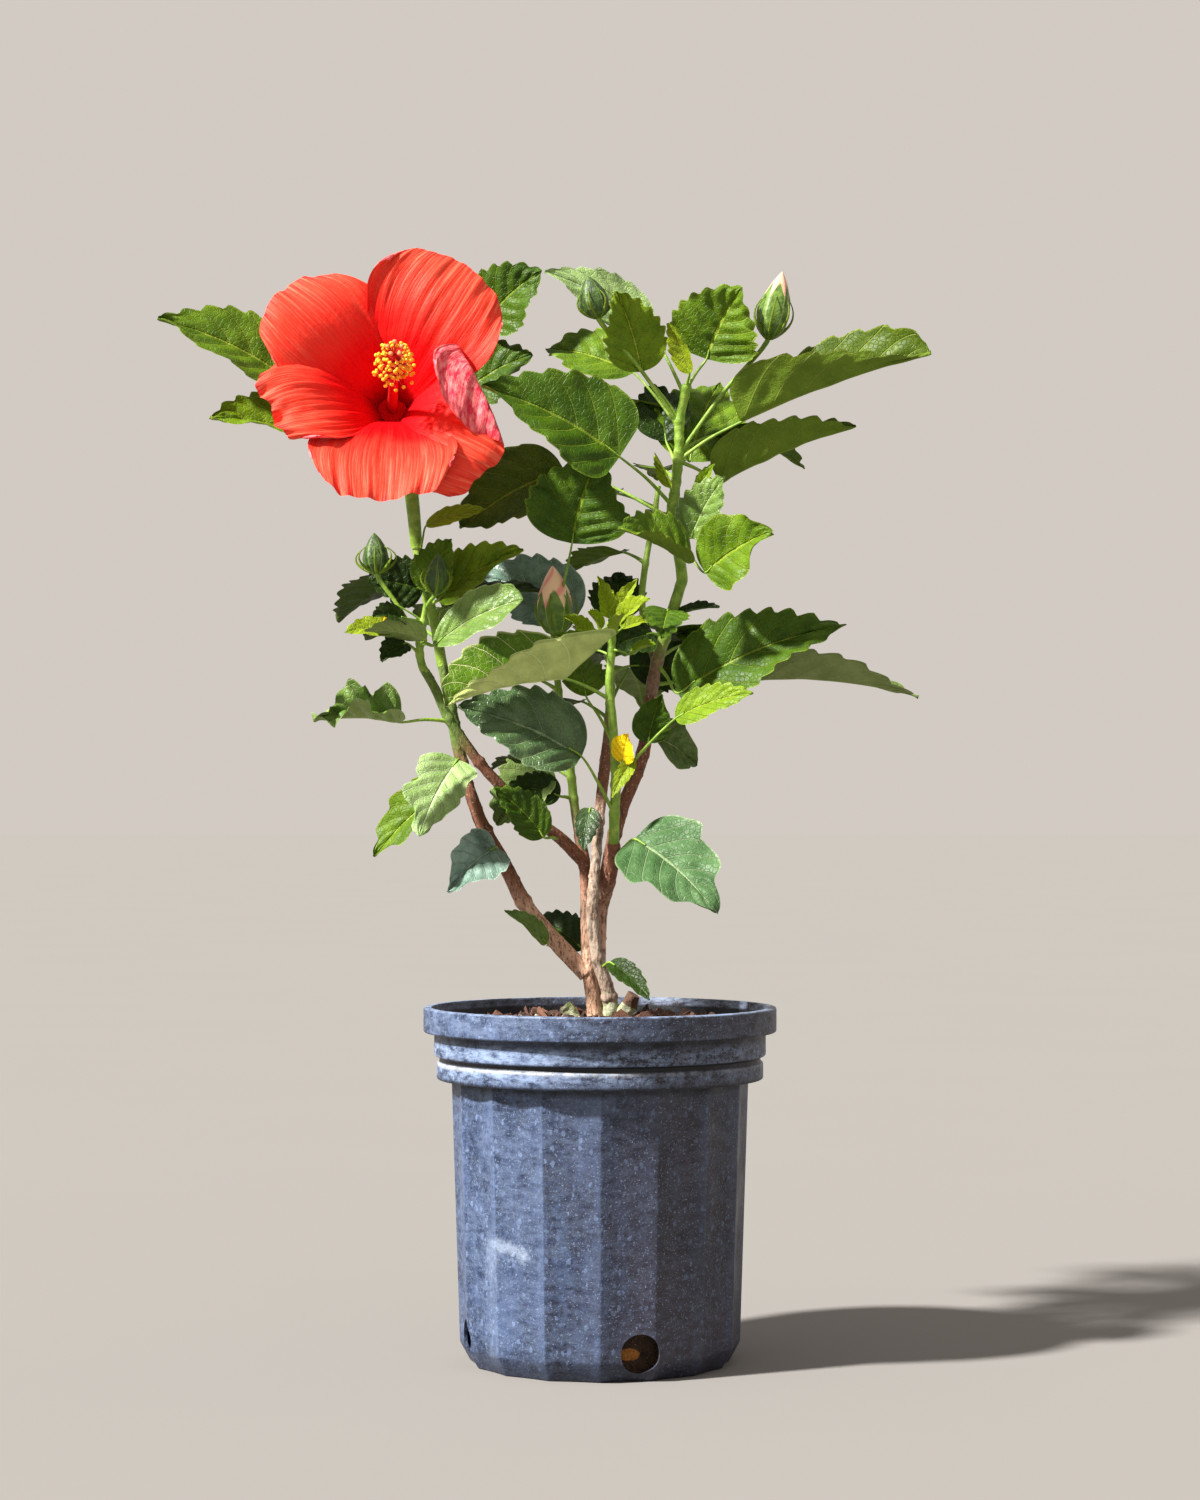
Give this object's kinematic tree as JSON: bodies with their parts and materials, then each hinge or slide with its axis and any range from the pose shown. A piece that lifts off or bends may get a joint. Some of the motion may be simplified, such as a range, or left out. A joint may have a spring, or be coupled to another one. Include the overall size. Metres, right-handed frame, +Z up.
{
  "type": "potted hibiscus shrub",
  "caption": "Young hibiscus shrub in a faceted nursery pot: woody stems with side boughs, toothed leaves in several masses, buds and one open red bloom.",
  "frame": {"origin": "centre of the pot's flat underside, on the surface that it stands on", "axes": "+Z up, +X to the right and -Y towards the viewer of the side that the bloom faces"},
  "size_m": [0.3583, 0.1927, 0.5183],
  "materials": {
    "pot_plastic": "weathered slate blue plastic with pale chalky blotches",
    "potting_mix": "damp bark chips with pale pebbles",
    "bark": "smooth pinkish brown bark",
    "grey_bark": "pale grey bark with a yellowish knobbly foot",
    "leaf": "glossy toothed leaves on green stalks",
    "petal": "thin coral red petals with a yellow stamen cluster"
  },
  "bodies": {
    "root": {"pot": "pot_plastic", "potting_mix": "potting_mix", "trunk": "bark", "left_bough": "bark", "crossing_bough": "bark", "grey_stem": "grey_bark", "right_bough": "bark", "front_bough": "bark", "right_shoot": "leaf", "tall_shoot": "leaf", "side_shoot": "leaf", "front_shoot": "leaf", "middle_shoot": "leaf", "rear_shoot": "leaf", "left_shoot": "leaf", "crossing_shoot": "leaf", "bloom_shoot": "leaf", "low_right_leaf": "leaf", "low_left_leaf": "leaf", "low_slim_leaf": "leaf", "low_rear_leaf": "leaf", "low_foot_leaf": "leaf", "lobed_leaf": "leaf", "lobed_rear_leaf": "leaf", "curled_leaf": "leaf", "stem_leaf": "leaf", "right_upper_leaf": "leaf", "right_hanging_leaf": "leaf", "crossing_leaf": "leaf", "red_bloom": "petal"}
  },
  "joints": []
}
